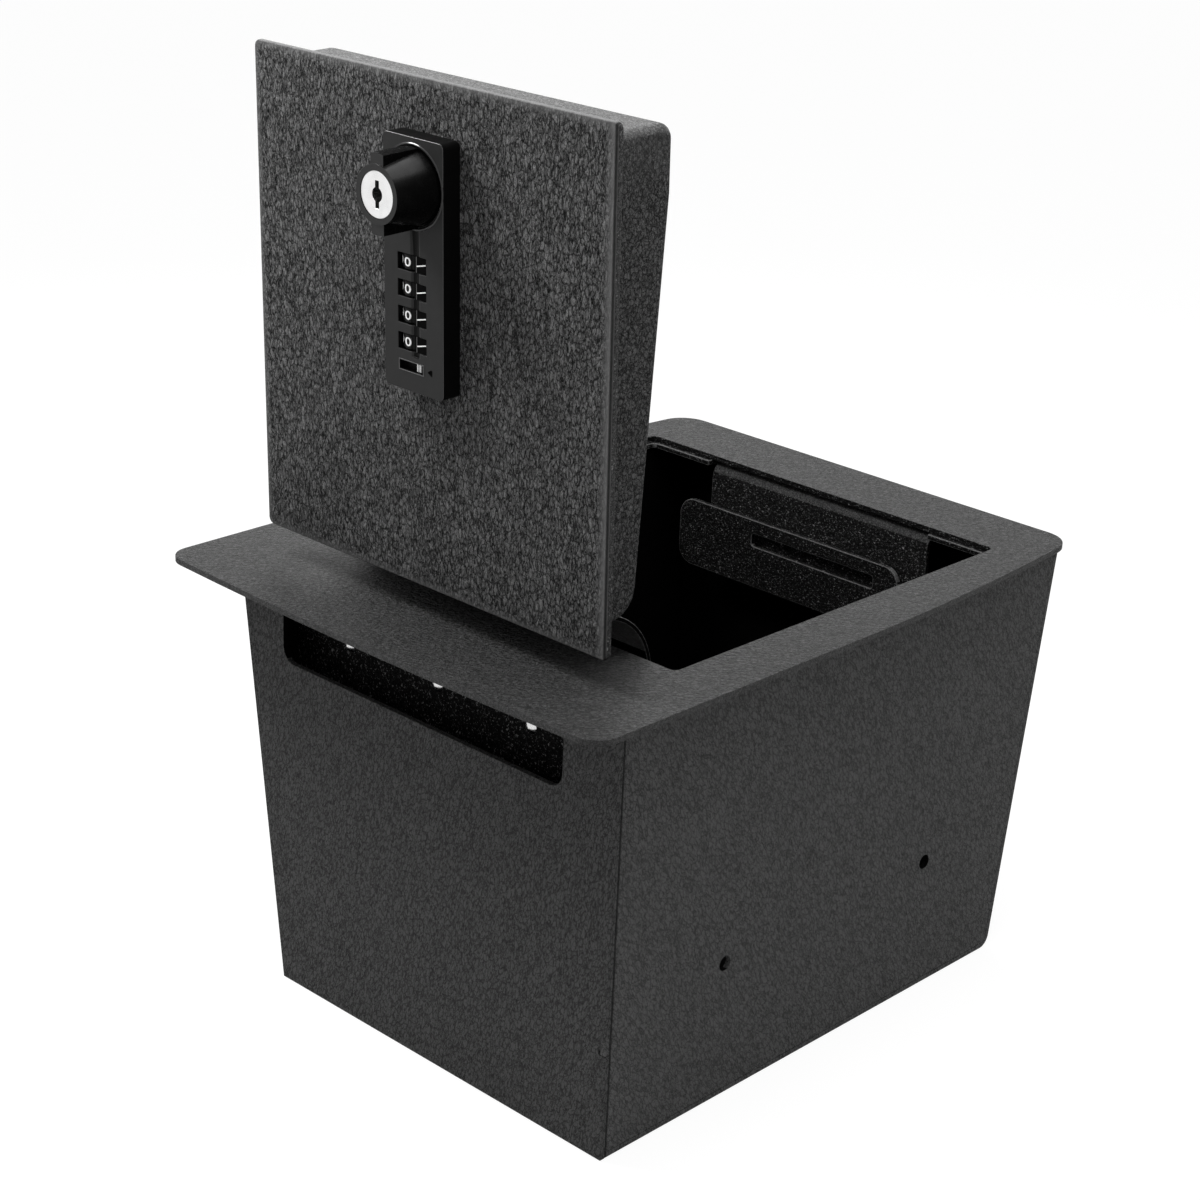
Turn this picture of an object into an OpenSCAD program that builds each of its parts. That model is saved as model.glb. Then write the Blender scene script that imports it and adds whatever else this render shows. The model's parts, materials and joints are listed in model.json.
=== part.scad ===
// Console safe: a sheet steel box under a top flange, with a lift-up lid and a number lock.
// The lid is drawn shut and turned open about its hinge, as it stands at rest.

/* [Opening] */
// Width of the lid opening
opening_w = 213.6; // [195:0.1:260]
// Depth of the lid opening from the hinge side to the latch side
opening_d = 218.3; // [200:0.1:265]
// Corner radius of the opening
opening_r = 3; // [2:0.5:10]

/* [Body] */
// Height of the top face above the base
body_h = 202.7; // [190:0.1:245]
// Thickness of the body sheet, the flange and the lid plate
sheet = 2.7; // [2.2:0.1:3]
// Distance from the opening to the outside of the right wall
right_margin = 17.3; // [14:0.1:26]
// Distance from the opening to the outside of the hinge-side wall
front_margin = 50.05; // [46:0.05:62]
// Distance from the opening to the outside of the latch-side wall, at its top
rear_margin = 27.9; // [25:0.1:40]
// Distance from the opening to the outside of the left wall, at its top
left_margin = 2.4; // [2.4:0.1:8]
// Lean of the left wall
left_lean = 8; // [0:0.1:12]
// Lean of the latch-side wall
rear_lean = 6.9; // [0:0.1:12]
// Inner radius of the bend between the base and the latch-side wall
bend_r = 3.5; // [1:0.1:6]
// Diameter of the two bolt holes in the right wall
bolt_hole_d = 7; // [5:0.1:9]
// Distance between the bolt holes
bolt_spacing = 139.5; // [100:0.5:150]
// Height of the bolt holes above the base
bolt_height = 66; // [40:0.5:120]
// Position of the midpoint between the bolt holes along the wall
bolt_centre = -16.25; // [-25:0.05:10]
// Height of the joint tab on the front seam
tab_h = 8; // [5:0.5:12]
// Height of the tab above the base
tab_z = 50; // [30:0.5:90]

/* [Flange] */
// Reach of the flange past the opening on the right
flange_right = 28.6; // [27:0.1:40]
// Reach of the flange past the opening on the left
flange_left = 24.3; // [14:0.1:36]
// Reach of the flange past the opening on the hinge side, at the middle of its bow
flange_front = 78.25; // [70:0.05:95]
// Reach of the flange past the opening on the latch side
flange_rear = 38.65; // [36:0.05:50]
// Radius of the curve along each flange side
flange_side_r = 1435; // [1000:5:3000]
// Position along the sides from which they curve in towards the latch side
flange_curve_y = -30; // [-60:1:20]
// Rise of the bowed front edge
flange_bow = 3; // [1:0.1:6]
// Radius of the two front corners
flange_front_r = 11; // [5:0.5:16]
// Radius of the two rear corners
flange_rear_r = 15; // [8:0.5:18]

/* [Ledge and latch] */
// Reach of the ledge into the opening
ledge_reach = 2.5; // [2:0.1:5]
// Left end of the strike plate
strike_left = -82; // [-90:1:-60]
// Right end of the strike plate
strike_right = 58; // [55:1:80]
// Corner radius of the strike plate
strike_r = 9; // [4:0.5:12]
// Left end of the latch slot
latch_slot_left = -34; // [-45:1:-20]
// Right end of the latch slot
latch_slot_right = 43; // [20:1:46]
// Height of the latch slot
latch_slot_h = 6.7; // [6:0.1:9]
// Left end of the cover panel
cover_left = -66; // [-90:1:-50]
// Right end of the cover panel
cover_right = 70; // [55:1:95]
// Depth of the cover panel below the flange
cover_h = 60; // [50:1:75]

/* [Hinge] */
// Distance of the hinge pin behind the opening
pivot_back = 23.75; // [22:0.05:27]
// Depth of the hinge pin below the top face
pivot_drop = 12.75; // [11.5:0.05:15]
// Angle to which the lid stands open
open_angle = 91.6; // [0:0.1:95]
// Length of the hinge
hinge_len = 150; // [110:1:160]
// Radius of the hinge knuckles
knuckle_r = 4.6; // [4:0.1:4.7]
// Radius of the hinge pin
pin_r = 2.5; // [1.5:0.1:3]
// Thickness of the hinge leaves
leaf_t = 1.9; // [1.5:0.1:2.2]
// Distance between the hinge rivets
rivet_spacing = 57; // [45:1:60]
// Diameter of the rivet heads
rivet_head_d = 6.5; // [5:0.1:9]
// Left end of the slot in the hinge-side wall
wall_slot_left = -80; // [-85:1:-60]
// Right end of the slot in the hinge-side wall
wall_slot_right = 93.7; // [60:0.1:95]
// Height of the slot in the hinge-side wall
wall_slot_h = 28; // [22:1:34]
// Corner radius of that slot
wall_slot_r = 7; // [3:0.5:10]
// Outer radius of the rolled cover over the hinge
roll_r = 35; // [33.5:0.1:36]
// Half the width of the rolled cover
roll_half_w = 84; // [76:1:90]

/* [Lid] */
// Gap beside the shut lid on the left
left_gap = 1.75; // [1:0.05:3.5]
// Gap beside the shut lid on the right
right_gap = 3.4; // [1:0.1:3.5]
// Gap beside the shut lid on the hinge side
hinge_gap = 2.55; // [2.3:0.05:4]
// Gap beside the shut lid on the latch side
free_gap = 1.45; // [1:0.05:2]
// Corner radius of the lid plate
lid_r = 3; // [1:0.5:8]
// Distance from the lid's left edge to the pan
pan_left_inset = 11.2; // [6:0.1:14]
// Distance from the lid's right edge to the pan
pan_right_inset = 4.1; // [4:0.1:14]
// Distance from the lid's hinge edge to the pan
pan_hinge_inset = 12.5; // [10:0.5:14]
// Distance from the lid's free edge to the pan
pan_free_inset = 5.2; // [5:0.1:10]
// Depth of the pan behind the lid face at the hinge end
pan_hinge_depth = 20.9; // [18:0.1:24]
// Depth of the pan behind the lid face at the free end
pan_free_depth = 35; // [30:0.1:36]
// Length of the pan's level part at the free end
pan_level_len = 27; // [15:1:60]
// Corner radius of the pan at the hinge end
pan_hinge_r = 13; // [8:0.5:15]
// Corner radius of the pan at the free end
pan_r = 6.4; // [5:0.2:8]
// Thickness of the pan sheet
pan_sheet = 2; // [1.5:0.1:2.5]

/* [Lock] */
// Width of the lock plate
lock_w = 34.7; // [34:0.1:38]
// Length of the lock plate
lock_len = 104; // [102:0.5:112]
// Height of the lock plate above the lid
lock_h = 9.2; // [8.6:0.1:11]
// Sideways position of the lock on the lid
lock_x = 1.9; // [-20:0.1:20]
// Distance from the lid's free edge to the end of the lock plate
lock_from_edge = 21.35; // [20:0.05:30]
// Distance from the end of the lock plate to the knob axis
knob_from_end = 19.6; // [18.5:0.1:24]
// Distance between the dials
dial_pitch = 11; // [10:0.1:11.4]
// Radius of the dials
dial_r = 7.5; // [6.5:0.1:8]
// Width of a dial
dial_w = 5.9; // [5:0.1:6.2]
// Largest radius of the knob
knob_r = 16.3; // [14:0.1:16.3]
// Radius of the knob's round front
knob_front_r = 11.9; // [11:0.1:13]
// Height of the knob's front above the lid
knob_h = 28.1; // [24:0.1:32]
// Width of the knob's grip bar
grip_w = 7.2; // [6:0.1:9]
// Radius of the key plug
plug_r = 9.4; // [7:0.1:9.8]
// Length of the keyhole
keyhole_len = 11; // [8:0.1:12]
// Length of the cam from the knob axis to its tip
cam_len = 42; // [40:0.1:42.2]
// Width of the cam
cam_w = 16; // [12:0.1:20]
// Thickness of the cam
cam_t = 2.6; // [2:0.1:3]

/* [Hidden] */
$fn = 48;

coat = [0.09, 0.09, 0.09];
coat_dark = [0.06, 0.06, 0.06];
steel = [0.7, 0.7, 0.7];
lock_black = [0.05, 0.05, 0.05];
mark_white = [0.95, 0.95, 0.95];

overshoot = 1;
smooth = 1440;
running_gap = 0.06;
side_gap = 0.3;

under = body_h - sheet;
opening_x = opening_w / 2;
opening_y = opening_d / 2;
right_x = opening_x + right_margin;
front_y = -opening_y - front_margin;
rear_top_y = opening_y + rear_margin;
rear_base_y = rear_top_y - under * tan(rear_lean);
left_top_x = -opening_x - left_margin;
left_base_x = left_top_x + under * tan(left_lean);
rear_sheet = sheet / cos(rear_lean);
rear_inner_y = rear_base_y + sheet * tan(rear_lean) - rear_sheet;
rear_inner_top_y = rear_top_y - rear_sheet;
front_inner_y = front_y + sheet;

tab_play = 0.3;
relief_r = 1.2;

wall_slot_drop = 11.4;
wall_slot_z = under - wall_slot_drop - wall_slot_h;

flange_left_x = -opening_x - flange_left;
flange_right_x = opening_x + flange_right;
flange_mid_x = (flange_left_x + flange_right_x) / 2;
flange_front_y = -opening_y - flange_front + flange_bow;
flange_rear_y = opening_y + flange_rear;
bow_half = flange_right_x - flange_mid_x - flange_front_r;
bow_r = (bow_half * bow_half + flange_bow * flange_bow) / (2 * flange_bow);
rear_corner_y = flange_rear_y - flange_rear_r;
corner_rise = rear_corner_y - flange_curve_y;
corner_swing = flange_side_r - flange_rear_r;
rear_corner_x = flange_right_x - flange_side_r
  + sqrt(corner_swing * corner_swing - corner_rise * corner_rise);
side_end_y = flange_curve_y + corner_rise * flange_side_r / corner_swing;

ledge_width = 12;
ledge_inner_x = opening_x - ledge_reach;
ledge_inner_y = opening_y - ledge_reach;
ledge_outer_x = right_x - sheet;
ledge_outer_y = opening_y + ledge_width;
cover_notch = 1;

cover_reveal = 0.15;
cover_y = opening_y - cover_reveal;
cover_bend_r = 6;
cover_leg = 14;
strike_gap = 2;
strike_y = cover_y - strike_gap;
strike_top = 24.7;
strike_h = 35;
strike_spacer_h = 10;
strike_spacer_rise = 2;
latch_slot_play = 0.6;
latch_slot_end_r = 1.5;

pivot_y = -opening_y - pivot_back;
pivot_z = body_h - pivot_drop;
leaf_offset = 5;
hinge_plate_y = pivot_y - leaf_offset - sheet;
hinge_plate_h = 56;
hinge_plate_left = 12;
hinge_plate_right = 3;
leaf_drop = 30;
rivet_drop = 19.95;
moving_rivet_drop = 12;
rivet_r = 2;
rivet_head_h = 1.5;
knuckle_count = 5;
knuckle_len = hinge_len / knuckle_count;
stop_play = 0.1;
stop_w = 120;
stop_t = 4;
stop_inset = 2;

lid_play = 0.1;
lid_top = body_h + lid_play;
lid_back = lid_top - sheet;
lid_left_x = -opening_x + left_gap;
lid_right_x = opening_x - right_gap;
lid_hinge_y = -opening_y + hinge_gap;
lid_free_y = opening_y - free_gap;
lid_len = lid_free_y - lid_hinge_y;
pan_left_x = lid_left_x + pan_left_inset;
pan_right_x = lid_right_x - pan_right_inset;
pan_hinge_y = lid_hinge_y + pan_hinge_inset;
pan_free_y = lid_free_y - pan_free_inset;
pan_level_y = pan_free_y - pan_level_len;
pan_slope = atan((pan_free_depth - pan_hinge_depth) / (pan_level_y - pan_hinge_y));
roll_foot_inset = 1.2;
roll_foot_y = lid_hinge_y + roll_foot_inset;
web_offset = leaf_t / 2;
web_gap = 1.2;

lock_end_y = lid_free_y - lock_from_edge;
lock_start_y = lock_end_y - lock_len;
knob_y = lock_end_y - knob_from_end;
lock_r = 2.5;
first_dial_from_start = 20.3;
first_dial_y = lock_start_y + first_dial_from_start;
dial_count = 4;
dial_sink = 0.7;
dial_axis_z = lid_top + lock_h - dial_sink - dial_r;
dial_offset = 4.2;
dial_x = lock_x - dial_offset;
dial_hub_r = 4;
dial_hub_play = 0.2;
dial_play = 0.6;
dial_under_play = 0.8;
dial_end_play = 0.15;
notch_count = 10;
notch_r = 0.6;
axle_r = 1.5;
axle_end = 2.5;
lock_front_t = 2;
window_left = 9.2;
window_right = 7.4;
window_h = 6.9;
window_open = 9.4;
window_floor = 0.6;
mark_len = 5.1;
mark_w = 0.7;
mark_t = 0.2;
mark_inset = 0.6;
pocket_half_w = dial_r + dial_play;
pocket_start_y = first_dial_y - dial_w / 2 - dial_end_play;
pocket_end_y = first_dial_y + dial_count * dial_pitch - dial_w / 2 - dial_hub_play + dial_end_play;
groove_r = 5;
groove_depth = 0.8;
groove_offset = 1.1;
groove_x = lock_x + groove_offset;
groove_start_y = first_dial_y - dial_pitch / 2;
recess_depth = 1.5;
recess_wall = 0.75;
knob_clear = 0.3;
knob_taper = 0.9;
knob_base_r = knob_r - knob_taper;
grip_setback = 0.5;
spindle_r = 6;
reset_from_start = 10.4;
reset_y = lock_start_y + reset_from_start;
reset_offset = 8.5;
reset_left_x = lock_x - reset_offset;
reset_w = 14.2;
reset_h = 4;
reset_depth = 3;
arrow_offset = 9.5;
arrow_len = 2.2;
arrow_w = 2.4;
slider_len = 5;
slider_floor = 1.2;
slider_grip = 1.5;
slider_drop = 0.4;
slider_play = 0.05;
housing_w = 30;
housing_end = 2.6;
housing_h = 20;
housing_play = 0.3;
boss_r = 10;
boss_play = 0.5;
screw_head_r = 3;
screw_head_h = 1.8;
screw_inset = 5;
cam_clear = 0.3;
cam_drop = pan_free_depth + cam_clear;
cam_tip_r = 5;
cam_screw_r = 4;
cam_screw_h = 2.4;
plug_len = 12;
plug_recess = 0.3;
keyhole_w = 2.2;
keyhole_eye_r = 2.9;
keyhole_depth = 5;

function unit(v) = v / norm(v);
function at(list, i) = list[(i + len(list)) % len(list)];
function half_angle(list, i) =
  acos(unit(at(list, i - 1) - list[i]) * unit(at(list, i + 1) - list[i])) / 2;

// Convex outline with its own radius at each corner
module rounded_outline(pts, radii) {
  cut = [for (i = [0 : len(pts) - 1]) radii[i] / tan(half_angle(pts, i))];
  polygon([for (i = [0 : len(pts) - 1], k = [-1, 1])
    pts[i] + unit(at(pts, i + k) - pts[i]) * cut[i]]);
  for (i = [0 : len(pts) - 1])
    if (radii[i] > 0)
      translate(pts[i] + unit(unit(at(pts, i - 1) - pts[i]) + unit(at(pts, i + 1) - pts[i]))
        * radii[i] / sin(half_angle(pts, i)))
        circle(r = radii[i]);
}

// Rectangle between two corners with rounded corners
module rounded_rect(low, high, r) {
  translate([low.x + r, low.y])
    square([high.x - low.x - 2 * r, high.y - low.y]);
  translate([low.x, low.y + r])
    square([high.x - low.x, high.y - low.y - 2 * r]);
  for (x = [low.x + r, high.x - r], y = [low.y + r, high.y - r])
    translate([x, y])
      circle(r = r);
}

// Draws a side outline, given as Y and Z, between two X positions
module side_extrude(from_x, to_x) {
  translate([from_x, 0, 0])
    rotate([90, 0, 90])
      linear_extrude(height = to_x - from_x)
        children();
}

// Draws a front outline, given as X and Z, between two Y positions
module front_extrude(from_y, to_y) {
  translate([0, to_y, 0])
    rotate([90, 0, 0])
      linear_extrude(height = to_y - from_y)
        children();
}

// Turns the shut lid to its open position
module opened() {
  translate([0, pivot_y, pivot_z])
    rotate([open_angle, 0, 0])
      translate([0, -pivot_y, -pivot_z])
        children();
}

module body_outer_outline() {
  rounded_outline([[front_inner_y, 0], [rear_base_y, 0], [rear_top_y, under], [front_inner_y, under]],
    [0, bend_r + sheet, 0, 0]);
}

// Inside of the wrapped sheet, carried past its open front and top by a reach
module body_inner_outline(reach) {
  top_z = under + reach;
  rounded_outline([[front_inner_y - reach, sheet], [rear_inner_y, sheet],
    [rear_inner_top_y + reach * tan(rear_lean), top_z], [front_inner_y - reach, top_z]],
    [0, bend_r, 0, 0]);
}

// Everything on the far side of the left wall's slanted face, set in by a depth
module left_of_wall(inset) {
  translate([left_base_x, 0, 0])
    rotate([0, -left_lean, 0])
      translate([inset - 2 * body_h, -opening_d, -body_h])
        cube([2 * body_h, 2 * opening_d, 3 * body_h]);
}

module body_wrap() color(coat) {
  difference() {
    side_extrude(left_top_x - overshoot, right_x)
      body_outer_outline();
    side_extrude(left_top_x - 2 * overshoot, right_x + overshoot)
      body_inner_outline(overshoot);
    left_of_wall(0);
  }
}

// Hinge-side wall with its wide slot and the notch for the tab of the right wall
module front_plate() color(coat) {
  difference() {
    translate([left_top_x - overshoot, front_y, 0])
      cube([right_x - left_top_x + overshoot, sheet, under]);
    left_of_wall(0);
    front_extrude(front_y - overshoot, front_inner_y + overshoot)
      rounded_rect([wall_slot_left, wall_slot_z],
        [wall_slot_right, wall_slot_z + wall_slot_h], wall_slot_r);
    translate([right_x - sheet, front_y - overshoot, tab_z - tab_play])
      cube([sheet + overshoot, sheet + 2 * overshoot, tab_h + tab_play]);
    translate([right_x - sheet, front_y - overshoot, tab_z + relief_r - tab_play])
      rotate([-90, 0, 0])
        cylinder(r = relief_r, h = sheet + 2 * overshoot);
  }
}

module right_plate() color(coat) {
  difference() {
    side_extrude(right_x - sheet, right_x)
      body_inner_outline(0);
    for (side = [-1, 1])
      translate([right_x - sheet - overshoot, bolt_centre + side * bolt_spacing / 2, bolt_height])
        rotate([0, 90, 0])
          cylinder(d = bolt_hole_d, h = sheet + 2 * overshoot);
  }
  translate([right_x - sheet, front_y, tab_z])
    cube([sheet, sheet, tab_h]);
}

module left_plate() color(coat) {
  difference() {
    side_extrude(left_top_x - overshoot, left_base_x + 2 * sheet)
      body_inner_outline(0);
    left_of_wall(0);
    translate([left_base_x, 0, 0])
      rotate([0, -left_lean, 0])
        translate([sheet, -opening_d, -body_h])
          cube([body_h, 2 * opening_d, 3 * body_h]);
  }
}

// Flange outline: a bowed front, straight sides that curve in, and a straight rear edge
module flange_outline() {
  rounded_outline([[flange_left_x, flange_front_y], [flange_right_x, flange_front_y],
    [flange_right_x, flange_curve_y], [flange_left_x, flange_curve_y]],
    [flange_front_r, flange_front_r, 0, 0]);
  intersection() {
    translate([flange_mid_x, flange_front_y - flange_bow + bow_r])
      circle(r = bow_r, $fn = smooth);
    translate([flange_mid_x - bow_half, flange_front_y - flange_bow])
      square([2 * bow_half, 2 * flange_bow]);
  }
  intersection() {
    translate([flange_right_x - flange_side_r, flange_curve_y])
      circle(r = flange_side_r, $fn = smooth);
    translate([flange_left_x + flange_side_r, flange_curve_y])
      circle(r = flange_side_r, $fn = smooth);
    translate([flange_left_x, flange_curve_y - overshoot])
      square([flange_right_x - flange_left_x, side_end_y - flange_curve_y + overshoot]);
  }
  translate([2 * flange_mid_x - rear_corner_x, rear_corner_y])
    square([2 * (rear_corner_x - flange_mid_x), flange_rear_r]);
  for (x = [2 * flange_mid_x - rear_corner_x, rear_corner_x])
    translate([x, rear_corner_y])
      circle(r = flange_rear_r);
}

module top_flange() color(coat) {
  translate([0, 0, under])
    difference() {
      linear_extrude(height = sheet)
        flange_outline();
      translate([0, 0, -overshoot])
        linear_extrude(height = sheet + 2 * overshoot)
          rounded_rect([-opening_x, -opening_y], [opening_x, opening_y], opening_r);
    }
}

module lid_ledge() color(coat) {
  difference() {
    translate([-ledge_outer_x, -opening_y, under - sheet])
      cube([2 * ledge_outer_x, opening_y + ledge_outer_y, sheet]);
    translate([0, 0, under - sheet - overshoot])
      linear_extrude(height = sheet + 2 * overshoot)
        rounded_rect([-ledge_inner_x, -opening_y - 2 * opening_r], [ledge_inner_x, ledge_inner_y],
          opening_r);
    translate([cover_left - cover_notch, opening_y - 2 * ledge_reach, under - sheet - overshoot])
      cube([cover_right - cover_left + 2 * cover_notch, ledge_outer_y, sheet + 2 * overshoot]);
    left_of_wall(sheet);
  }
}

// Bent strip outline: a face that turns back into a leg at its top
module cover_outline() {
  outer_r = cover_bend_r + sheet;
  difference() {
    union() {
      translate([cover_y, under - cover_h])
        square([sheet, cover_h - outer_r]);
      translate([cover_y + outer_r, under - sheet])
        square([cover_leg, sheet]);
      translate([cover_y + outer_r, under - outer_r])
        intersection() {
          circle(r = outer_r);
          translate([-outer_r, 0])
            square(outer_r);
        }
    }
    translate([cover_y + outer_r, under - outer_r])
      circle(r = cover_bend_r);
  }
}

module strike_cover() color(coat) {
  foot_z = under - cover_h;
  foot_y = rear_inner_y + (foot_z - sheet) * tan(rear_lean);
  side_extrude(cover_left, cover_right) {
    cover_outline();
    polygon([[cover_y, foot_z], [foot_y, foot_z], [foot_y + sheet * tan(rear_lean), foot_z + sheet],
      [cover_y, foot_z + sheet]]);
  }
}

module strike_plate() color(coat) {
  strike_z = body_h - strike_top;
  slot_z = lid_top - cam_drop - cam_t - latch_slot_play;
  front_extrude(strike_y - sheet, strike_y)
    difference() {
      rounded_rect([strike_left, strike_z - strike_h], [strike_right, strike_z], strike_r);
      rounded_rect([latch_slot_left, slot_z], [latch_slot_right, slot_z + latch_slot_h],
        latch_slot_end_r);
    }
}

module strike_spacer() color(coat) {
  translate([cover_left + strike_r, strike_y, body_h - strike_top - strike_h + strike_spacer_rise])
    cube([strike_right - cover_left - 2 * strike_r, strike_gap, strike_spacer_h]);
}

module hinge_plate() color(coat_dark) {
  difference() {
    translate([wall_slot_left - hinge_plate_left, hinge_plate_y, under - hinge_plate_h])
      cube([wall_slot_right - wall_slot_left + hinge_plate_left + hinge_plate_right, sheet,
        hinge_plate_h]);
    for (i = [-1 : 1])
      translate([i * rivet_spacing, hinge_plate_y - overshoot, pivot_z - rivet_drop])
        rotate([-90, 0, 0])
          cylinder(r = rivet_r, h = sheet + 2 * overshoot);
  }
}

// One knuckle of the hinge with its bore
module knuckle(i, bore) {
  translate([-hinge_len / 2 + i * knuckle_len + side_gap / 2, pivot_y, pivot_z])
    rotate([0, 90, 0])
      difference() {
        cylinder(r = knuckle_r, h = knuckle_len - side_gap);
        translate([0, 0, -overshoot])
          cylinder(r = bore, h = knuckle_len + 2 * overshoot);
      }
}

module fixed_leaf() color(coat_dark) {
  leaf_y = pivot_y - leaf_offset;
  leaf_top = pivot_z - knuckle_r - 2 * side_gap;
  difference() {
    translate([-hinge_len / 2, leaf_y, pivot_z - leaf_drop])
      cube([hinge_len, leaf_t, leaf_top - pivot_z + leaf_drop]);
    for (i = [-1 : 1])
      translate([i * rivet_spacing, leaf_y - overshoot, pivot_z - rivet_drop])
        rotate([-90, 0, 0])
          cylinder(r = rivet_r, h = leaf_t + 2 * overshoot);
  }
  for (i = [0 : 2 : knuckle_count - 1]) {
    knuckle(i, pin_r);
    difference() {
      translate([-hinge_len / 2 + i * knuckle_len + side_gap / 2, leaf_y, leaf_top - side_gap])
        cube([knuckle_len - side_gap, leaf_t, pivot_z - leaf_top + side_gap]);
      translate([-hinge_len, pivot_y, pivot_z])
        rotate([0, 90, 0])
          cylinder(r = (pin_r + knuckle_r) / 2, h = 2 * hinge_len);
    }
  }
}

// Domed rivet: a shank and a lens-shaped head that faces the hinge-side wall
module hinge_rivet(i) color(steel) {
  head_r = rivet_head_d / 2;
  dome_r = (head_r * head_r + rivet_head_h * rivet_head_h) / (2 * rivet_head_h);
  translate([i * rivet_spacing, hinge_plate_y, pivot_z - rivet_drop])
    rotate([90, 0, 0]) {
      translate([0, 0, -sheet - leaf_t])
        cylinder(r = rivet_r, h = sheet + leaf_t);
      rotate_extrude()
        intersection() {
          translate([0, rivet_head_h - dome_r])
            circle(r = dome_r);
          square([head_r, rivet_head_h]);
        }
    }
}

module hinge_pin() color(steel) {
  translate([-hinge_len / 2, pivot_y, pivot_z])
    rotate([0, 90, 0])
      cylinder(r = pin_r, h = hinge_len);
}

module lid_stop() color(coat_dark) {
  web_top = pivot_z + web_offset + pan_sheet + (pivot_back - stop_inset) * tan(open_angle - 90);
  translate([-stop_w / 2, -opening_y - stop_inset - stop_t, web_top + stop_play])
    cube([stop_w, stop_t, under - web_top - stop_play]);
}

module lid_plate() color(coat) {
  opened()
    difference() {
      translate([0, 0, lid_back])
        linear_extrude(height = sheet)
          rounded_rect([lid_left_x, lid_hinge_y], [lid_right_x, lid_free_y], lid_r);
      translate([lock_x - housing_w / 2 - housing_play, lock_start_y + housing_end - housing_play,
        lid_back - overshoot])
        cube([housing_w + 2 * housing_play, lock_len - 2 * housing_end + 2 * housing_play,
          sheet + 2 * overshoot]);
    }
}

// Solid block of the pan's outline, set in by a depth from the outside
module pan_block(inset, top) {
  level = [pan_level_y + inset * tan(pan_slope / 2), lid_top - pan_free_depth + inset];
  hinge_z = level.y + (level.x - pan_hinge_y - inset) * tan(pan_slope);
  high = lid_top + 2 * pan_hinge_r;
  side_extrude(pan_left_x + inset, pan_right_x - inset)
    intersection() {
      rounded_outline([[pan_hinge_y + inset, hinge_z], level, [pan_free_y - inset, level.y],
        [pan_free_y - inset, high], [pan_hinge_y + inset, high]],
        [pan_hinge_r - inset, 0, pan_r - inset, 0, 0]);
      translate([pan_hinge_y, top - high])
        square([lid_len, high]);
    }
}

module lid_pan() color(coat) {
  opened()
    difference() {
      pan_block(0, lid_back);
      pan_block(pan_sheet, lid_back + overshoot);
      translate([lock_x, knob_y, lid_top - 2 * pan_free_depth])
        cylinder(r = boss_r + boss_play, h = 2 * pan_free_depth);
    }
}

// Curved sheet about the hinge pin, from the back of the lid plate to the moving leaf
module roll_outline() {
  inner_r = roll_r - pan_sheet;
  difference() {
    translate([pivot_y, pivot_z])
      circle(r = roll_r);
    translate([pivot_y, pivot_z])
      circle(r = inner_r);
    translate([pivot_y - 2 * roll_r, pivot_z])
      square([4 * roll_r, 2 * roll_r]);
    translate([pivot_y - 2 * roll_r + web_offset, pivot_z - 2 * roll_r])
      square([2 * roll_r, 3 * roll_r]);
  }
  translate([pivot_y + inner_r, pivot_z])
    square([pan_sheet, lid_back - pivot_z]);
  translate([roll_foot_y, lid_back - pan_sheet])
    square([pivot_y + roll_r - roll_foot_y, pan_sheet]);
  translate([pivot_y + web_offset, pivot_z - inner_r - pan_sheet / 2])
    square([pan_sheet, inner_r - knuckle_r - web_gap]);
}

module roll_cover() color(coat) {
  opened()
    side_extrude(-roll_half_w, roll_half_w)
      roll_outline();
}

module moving_leaf() color(coat_dark) {
  leaf_top = pivot_z - knuckle_r - 2 * side_gap;
  opened() {
    translate([-hinge_len / 2, pivot_y - leaf_t / 2, pivot_z - leaf_drop])
      cube([hinge_len, leaf_t, leaf_top - pivot_z + leaf_drop]);
    for (i = [1 : 2 : knuckle_count - 1]) {
      knuckle(i, pin_r + running_gap);
      translate([-hinge_len / 2 + i * knuckle_len + side_gap / 2, pivot_y - leaf_t / 2,
        leaf_top - side_gap])
        cube([knuckle_len - side_gap, leaf_t, 3 * side_gap + (knuckle_r - pin_r) / 2]);
    }
  }
}

// Low round rivet head on the inside of the roll cover's web
module leaf_rivet(i) color(steel) {
  opened()
    translate([i * rivet_spacing, pivot_y + web_offset + pan_sheet, pivot_z - moving_rivet_drop])
      rotate([-90, 0, 0])
        cylinder(d1 = rivet_head_d, d2 = rivet_head_d - 2, h = rivet_head_h);
}

// Rod through all the dials
module axle_rod() {
  translate([dial_x, pocket_start_y - axle_end, dial_axis_z])
    rotate([-90, 0, 0])
      cylinder(r = axle_r, h = pocket_end_y - pocket_start_y + 2 * axle_end);
}

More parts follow.
